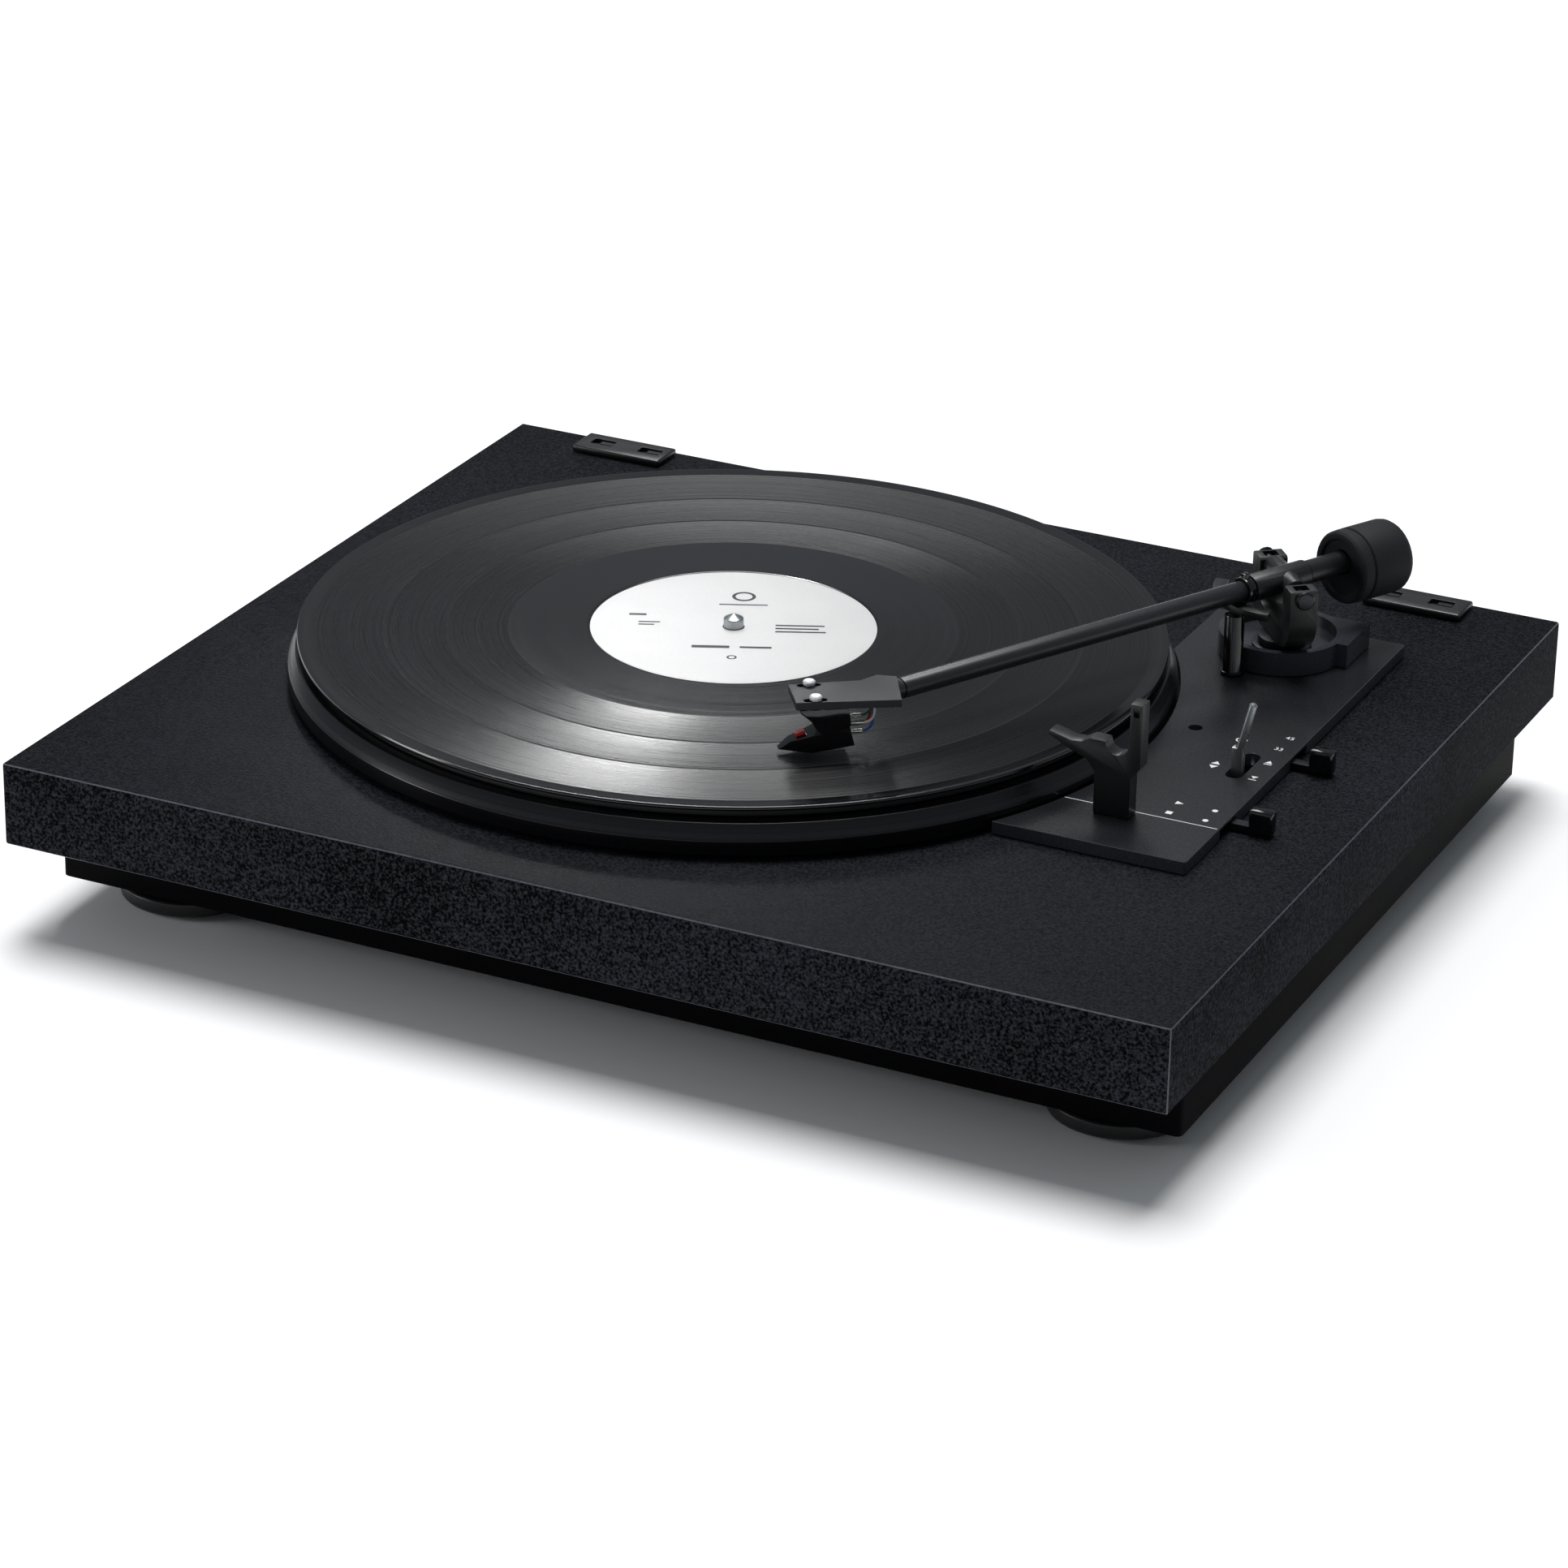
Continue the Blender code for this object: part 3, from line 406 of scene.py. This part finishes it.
speed_sign = ring_pieces(152.5, 20.4, 2.0, 0.5, 20) + [bar(152.5, 21.2, 0.5, 1.7)]
signs = start_sign + stop_sign + up_sign + down_sign + lift_sign + speed_sign
printed("plate_print", rule + dots + signs, white_ink, ink_at, "base")
for figures, x, y in (("33", 164.8, 18.2), ("45", 165.0, 28.3)):
    curve = bpy.data.curves.new("figures", "FONT")
    curve.body = figures
    curve.size = 3.2 * MM
    curve.extrude = 0.01 * MM
    words = put("figures", curve)
    bpy.context.view_layer.update()
    mesh = bpy.data.meshes.new_from_object(words.evaluated_get(bpy.context.evaluated_depsgraph_get()))
    bpy.data.objects.remove(words)
    mesh.materials.clear()
    mesh.materials.append(white_ink)
    piece = put("speed_figures_" + figures, mesh)
    piece.location = (x * MM, y * MM, plate_top + 2 * ink_gap)
    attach(piece, "base")


# ---- Switch levers and knobs ------------------------------------------------------------
# Pressed steel levers that come out from under the plate, with gloss ABS knobs pushed on.
gloss_abs = grained("gloss_abs", "#08080a", "#0f0f12", 1.5, 0.08, 0.16, 0.005, 0.15, 20.0, IOR=1.54)
dark_steel = grained("blackened_steel", "#2c2d30", "#3c3e42", 0.4, 0.25, 0.4, 0.02, 0.3, 10.0, Metallic=0.9)
for name in ("start", "speed"):
    dress(name + "_lever", dark_steel, 0.15)
    dress(name + "_knob", gloss_abs, 0.4)


# ---- Arm base ---------------------------------------------------------------------------
# A moulded ring and block in semi-gloss black, screwed to the plate. It holds the bearing of
# the arm's upright axis.
semi_gloss_abs = grained("semi_gloss_abs", "#2a2b31", "#33343a", 0.8, 0.16, 0.26, 0.01, 0.06, 20.0)
dress("arm_base", semi_gloss_abs, 0)


# ---- Arm rest ---------------------------------------------------------------------------
# One satin moulding fixed on the plate: a foot, a U-shaped cradle for the parked arm, a
# lead-in horn and a guard post.
dress("arm_rest", satin_abs, 0.2)


# ---- Hinge sockets ----------------------------------------------------------------------
# Satin moulded plates fixed on the plinth, each with two pockets for a dust cover's hinges.
# A tongue stands in each pocket.
dress("hinge_socket_left", satin_abs, 0.2)
dress("hinge_socket_right", satin_abs, 0.2)
for side in (-1, 1):
    for x in (149.5, 169.5):
        printed(f"hinge_tongue_{'left' if side < 0 else 'right'}_{int(x)}",
                [bar(side * x + 1.2, 172.2, 5.2, 2.4)], satin_abs,
                Matrix.Translation((0, 0, TOP + 1.1 * MM)), "base", 1.3)


# ---- Yoke and pivot screws --------------------------------------------------------------
# A U bracket in glass-filled nylon, slightly green-black, on a blackened steel shaft that
# turns in the base's bush. Two blackened pivot screws in its posts carry the arm.
filled_nylon = grained("filled_nylon", "#0e1110", "#191d1b", 0.8, 0.35, 0.5, 0.05, 0.4, 12.0)
dress("yoke", filled_nylon, 0.3)
dress("yoke_shaft", dark_steel, 0.15)
dress("arm_bush", dark_steel, 0.15)
for name in ("pivot_screw_near", "pivot_screw_far"):
    dress(name, dark_steel, 0.1)


# ---- Tonearm tube, sleeve and collar ----------------------------------------------------
# A drawn aluminium tube in satin black paint. The sleeve behind it is a satin moulding and
# the collar a gloss one.
arm_paint = grained("satin_black_paint", "#16171b", "#1f2024", 0.6, 0.32, 0.42, 0.005, 0.02, 30.0)
dress("arm_tube", arm_paint, 0.1)
dress("arm_sleeve", satin_abs, 0.25)
dress("arm_collar", gloss_abs, 0.2)


# ---- Headshell --------------------------------------------------------------------------
# A flat aluminium plate in the arm's satin paint, at the tube's end, slotted for the
# cartridge screws.
dress("headshell", arm_paint, 0.25, 1)


# ---- Cartridge and stylus ---------------------------------------------------------------
# A gloss moulded body with a push-on stylus unit and a red tab at the front, held by two
# zinc-plated screws. Four plated pins at the back take the clips of thin coloured leads
# that run up under the headshell.
head_turn = math.radians(35.6)
stylus_lo, stylus_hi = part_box("stylus_tip")
head_at = Vector(((stylus_lo[0] + stylus_hi[0]) / 2, (stylus_lo[1] + stylus_hi[1]) / 2, TOP))
head = Matrix.Translation(head_at) @ Matrix.Rotation(head_turn, 4, "Z")
dress("cartridge_body", gloss_abs, 0.15)
dress("stylus_unit", gloss_abs, 0.15)
dress("stylus_tip", machined_steel, 0)
zinc_plate = grained("zinc_plate", "#c9ccd0", "#eceef0", 0.3, 0.25, 0.4, 0.005, 0.1, 4.0, Metallic=0.5)
for name in ("head_screw_left", "head_screw_right"):
    dress(name, zinc_plate, 0.15)


def swept(name, points, radius_mm, finish, body, place):
    """A round wire or rod along smooth points in mm, as a mesh piece."""
    curve = bpy.data.curves.new(name, "CURVE")
    curve.dimensions = "3D"
    curve.bevel_depth = radius_mm * MM
    curve.bevel_resolution = 4
    curve.use_fill_caps = True
    line = curve.splines.new("NURBS")
    line.points.add(len(points) - 1)
    for knot, point in zip(line.points, points):
        knot.co = (*(c * MM for c in point), 1)
    line.use_endpoint_u = True
    line.order_u = min(3, len(points))
    line.resolution_u = 6
    guide = put(name + "_guide", curve)
    bpy.context.view_layer.update()
    mesh = bpy.data.meshes.new_from_object(guide.evaluated_get(bpy.context.evaluated_depsgraph_get()))
    bpy.data.objects.remove(guide)
    for face in mesh.polygons:
        face.use_smooth = True
    mesh.materials.clear()
    mesh.materials.append(finish)
    piece = put(name, mesh)
    piece.matrix_world = place
    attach(piece, body)


red_abs = grained("red_abs", "#a3202a", "#c23440", 0.8, 0.2, 0.35, 0.01, 0.2, 6.0)
tab = printed("stylus_tab", [bar(2.2, 0, 3.4, 2.2)], red_abs, Matrix.Translation(head_at), "arm", 1.1)
tab.matrix_world = head @ Matrix.Translation((0, 0, 23.9 * MM)) @ Matrix.Rotation(math.radians(-18), 4, "Y")
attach(tab, "arm")  # again, now that it stands at its own height and tilt
plated_pin = grained("plated_pin", "#c4c0b4", "#e4e1d8", 0.3, 0.2, 0.3, 0.005, 0.2, 4.0, Metallic=1.0)
leads = {"red": ("#8e1d24", "#b02a33", 4.4, 25.3), "green": ("#1d5a34", "#2a7a48", 1.5, 29.6),
         "blue": ("#243a86", "#3450a8", -1.5, 25.3), "white": ("#b9b9b6", "#d4d4d0", -4.4, 29.6)}
for colour, (dark, light, v, z) in leads.items():
    pvc = grained("soft_pvc_" + colour, dark, light, 0.8, 0.4, 0.5, 0.01, 0.2, 5.0)
    swept("pin_" + colour, [(17.6, v, z), (21.6, v, z)], 0.5, plated_pin, "arm", head)
    swept("lead_clip_" + colour, [(19.6, v, z), (22.6, v, z)], 0.75, plated_pin, "arm", head)
    swept("lead_" + colour, [(22.4, v, z), (24.8, v, z + 0.3), (26.2, v * 0.9, z + 3.0),
                             (26.0, v * 0.7, z + 5.5), (26.4, v * 0.6, 36.9)], 0.45, pvc, "arm", head)


# ---- Counterweight ----------------------------------------------------------------------
# A turned metal weight with a soft matte coating, hung slightly low on the arm's rear stub
# and slid along it to balance the arm.
soft_coat = grained("soft_touch_coat", "#111216", "#1b1c20", 0.7, 0.6, 0.75, 0.03, 0.35, 18.0,
                    Specular_IOR_Level=0.25)
dress("counterweight", soft_coat, 0.15)


# ---- Arm lift ---------------------------------------------------------------------------
# A satin crescent bar on a small piston that slides in a gloss cylinder. A bent steel lever
# raises it.
dress("lift_bar", satin_abs, 0.3)
dress("lift_cylinder", gloss_abs, 0.15)
dress("lift_lever", machined_steel, 0.15)


# ---- Boards and sockets -----------------------------------------------------------------
# Green fibreglass boards inside; nickel-plated phono sockets, a ground screw and the power
# inlet on the tray's back.
solder_mask = grained("solder_mask_board", "#0f4a2a", "#1a5f38", 1.2, 0.3, 0.45, 0.02, 0.3, 10.0)
nickel = grained("nickel_plate", "#a9a79f", "#c4c2ba", 0.4, 0.16, 0.28, 0.01, 0.2, 6.0, Metallic=1.0)
dress("speed_board", solder_mask, 0)
dress("phono_board", solder_mask, 0)
dress("rca_socket_left", nickel, 0.15)
dress("rca_socket_right", nickel, 0.15)
dress("ground_terminal", machined_steel, 0.15)
dress("power_inlet", moulded_abs, 0.2)


# ---- Studio -----------------------------------------------------------------------------
# A pale sheet of floor under a soft key light from high behind, a narrow light that draws
# the streaks on the record's front, a weak softbox behind, a weak fill at the left, and a
# long lens.
floor_mesh = bpy.data.meshes.new("floor")
reach = 12.0
floor_mesh.from_pydata([(-reach, -reach, 0), (reach, -reach, 0), (reach, reach, 0), (-reach, reach, 0)],
                       [], [(0, 1, 2, 3)])
floor_paper, _, shader, _ = start_finish("floor_paper", Roughness=0.9)
shader.inputs["Base Color"].default_value = linear("#f4f4f4")
floor_mesh.materials.append(floor_paper)
floor = put("floor", floor_mesh)
floor.location.z = -0.2 * MM

world = bpy.data.worlds.new("studio")
bpy.context.scene.world = world
bpy.context.scene.view_settings.view_transform = "Standard"
world.use_nodes = True
sky = world.node_tree.nodes["Background"]
sky.inputs["Color"].default_value = (0.86, 0.93, 1.0, 1)
sky.inputs["Strength"].default_value = 0.22


def aim(light_name, light, azimuth, elevation, distance, x=0.0, y=0.0):
    """Place a light that faces a point of the top; azimuth runs from +X towards +Y."""
    lamp = put(light_name, light)
    a, e = math.radians(azimuth), math.radians(elevation)
    away = Vector((math.cos(a) * math.cos(e), math.sin(a) * math.cos(e), math.sin(e)))
    lamp.location = Vector((x, y, TOP)) + away * distance
    lamp.rotation_euler = away.to_track_quat("Z", "Y").to_euler()


key = bpy.data.lights.new("key", "SUN")
key.energy = 3.0
key.angle = math.radians(30)
aim("key", key, 110, 78, 3.0)
# name, azimuth and elevation, size, power, distance, beam, and the point of the top it faces
for name, azimuth, elevation, size, power, distance, spread, x, y in (
        ("groove_light", 121, 44, 0.15, 0.06, 1.15, 13, -0.075, -0.085),
        ("back_softbox", 121, 46, 0.5, 1.2, 1.6, 90, 0.0, 0.0),
        ("left_fill", -150, 14, 0.8, 6, 2.4, 120, 0.0, 0.0)):
    fill = bpy.data.lights.new(name, "AREA")
    fill.size = size
    fill.energy = power
    fill.spread = math.radians(spread)
    aim(name, fill, azimuth, elevation, distance, x, y)

camera_turn = math.radians(25.2579)
camera_rise = math.radians(24.2351)
camera_roll = math.radians(1.1379)
camera_away = 1.874743
camera_aim = Vector((0.030947, -0.063654, TOP))
back = Vector((math.sin(camera_turn) * math.cos(camera_rise),
               -math.cos(camera_turn) * math.cos(camera_rise), math.sin(camera_rise)))
level = Vector((0, 0, 1)).cross(back).normalized()
rise = back.cross(level)
right = math.cos(camera_roll) * level + math.sin(camera_roll) * rise
upward = -math.sin(camera_roll) * level + math.cos(camera_roll) * rise
lens = bpy.data.cameras.new("camera")
lens.lens = 128.913
lens.sensor_width = 36
lens.shift_x = -0.015856
lens.shift_y = -0.006457
camera = put("camera", lens)
camera.matrix_world = (Matrix.Translation(camera_aim + back * camera_away)
                       @ Matrix((right, upward, back)).transposed().to_4x4())
bpy.context.scene.camera = camera
